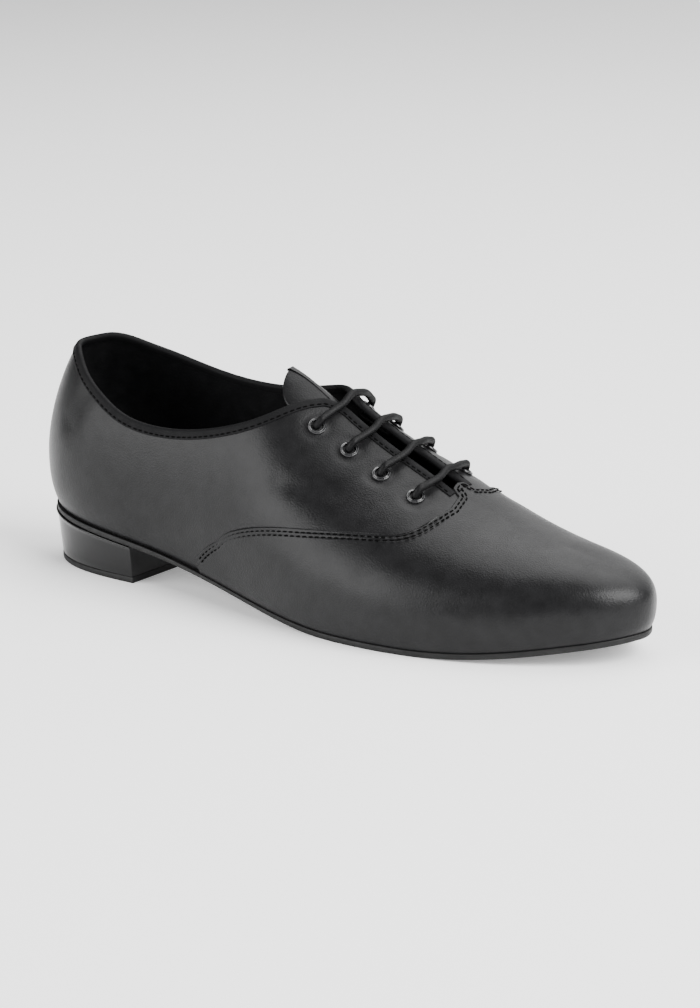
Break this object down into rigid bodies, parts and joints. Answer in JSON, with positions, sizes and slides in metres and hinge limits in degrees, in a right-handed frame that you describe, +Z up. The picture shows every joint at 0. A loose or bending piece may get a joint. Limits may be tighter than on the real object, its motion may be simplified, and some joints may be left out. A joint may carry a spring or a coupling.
{
  "type": "ballroom dance shoe",
  "caption": "Man's right black leather lace-up ballroom dance shoe with a thin flexible sole and a low block heel.",
  "frame": {"origin": "middle of the shoe's box, on the floor that heel and forefoot stand on", "axes": "+X to the toe, +Y to the inner side of the foot, +Z up"},
  "size_m": [0.304, 0.1018, 0.1001],
  "materials": {
    "upper_leather": "smooth satin calf, fine grain",
    "lining": "matt lining leather",
    "sole": "blackened edge, matt underside",
    "heel_cover": "glossy patent cover",
    "heel_tip": "matt",
    "eyelet": "glossy gunmetal lacquer",
    "lace": "waxed round braid"
  },
  "bodies": {
    "root": {"outsole": "sole", "heel": "heel_cover", "heel_tip": "heel_tip", "insole": "lining", "upper": "upper_leather", "tongue": "upper_leather", "eyelet_outer_1": "eyelet", "eyelet_outer_2": "eyelet", "eyelet_outer_3": "eyelet", "eyelet_outer_4": "eyelet", "eyelet_inner_1": "eyelet", "eyelet_inner_2": "eyelet", "eyelet_inner_3": "eyelet", "eyelet_inner_4": "eyelet", "lace": "lace"}
  },
  "joints": []
}
